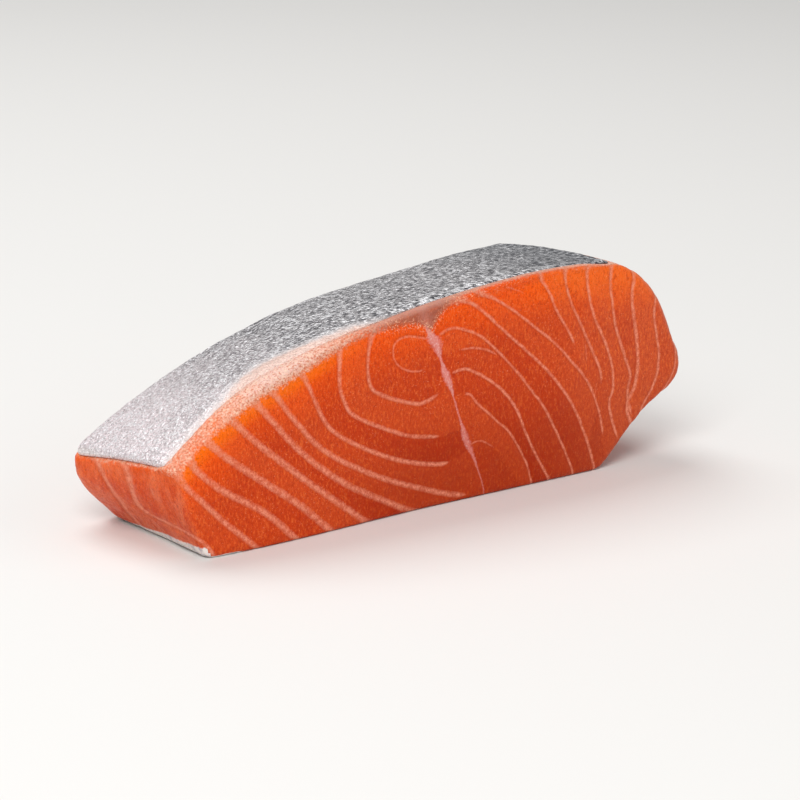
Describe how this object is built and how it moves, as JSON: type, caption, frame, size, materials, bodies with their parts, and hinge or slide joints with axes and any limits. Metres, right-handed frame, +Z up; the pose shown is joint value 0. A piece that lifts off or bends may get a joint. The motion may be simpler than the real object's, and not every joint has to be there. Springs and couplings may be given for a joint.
{
  "type": "raw salmon fillet",
  "caption": "Raw skin-on salmon fillet portion: a thick slice with a rounded belly end, a blunt back end, and silver skin on top.",
  "frame": {"origin": "centre of the bounding box's base, on the surface that the fillet lies on", "axes": "+X from the thin belly edge to the blunt back edge, -Y towards the long cut face, +Z up, skin side up"},
  "size_m": [0.1168, 0.0314, 0.0404],
  "materials": {
    "flesh": "moist orange muscle with pale wavy bands",
    "fat": "moist pale pink fat",
    "skin": "silvery scaled fish skin, wet sheen"
  },
  "bodies": {
    "root": {"flesh": "flesh", "fat_layer": "fat", "skin": "skin"}
  },
  "joints": []
}
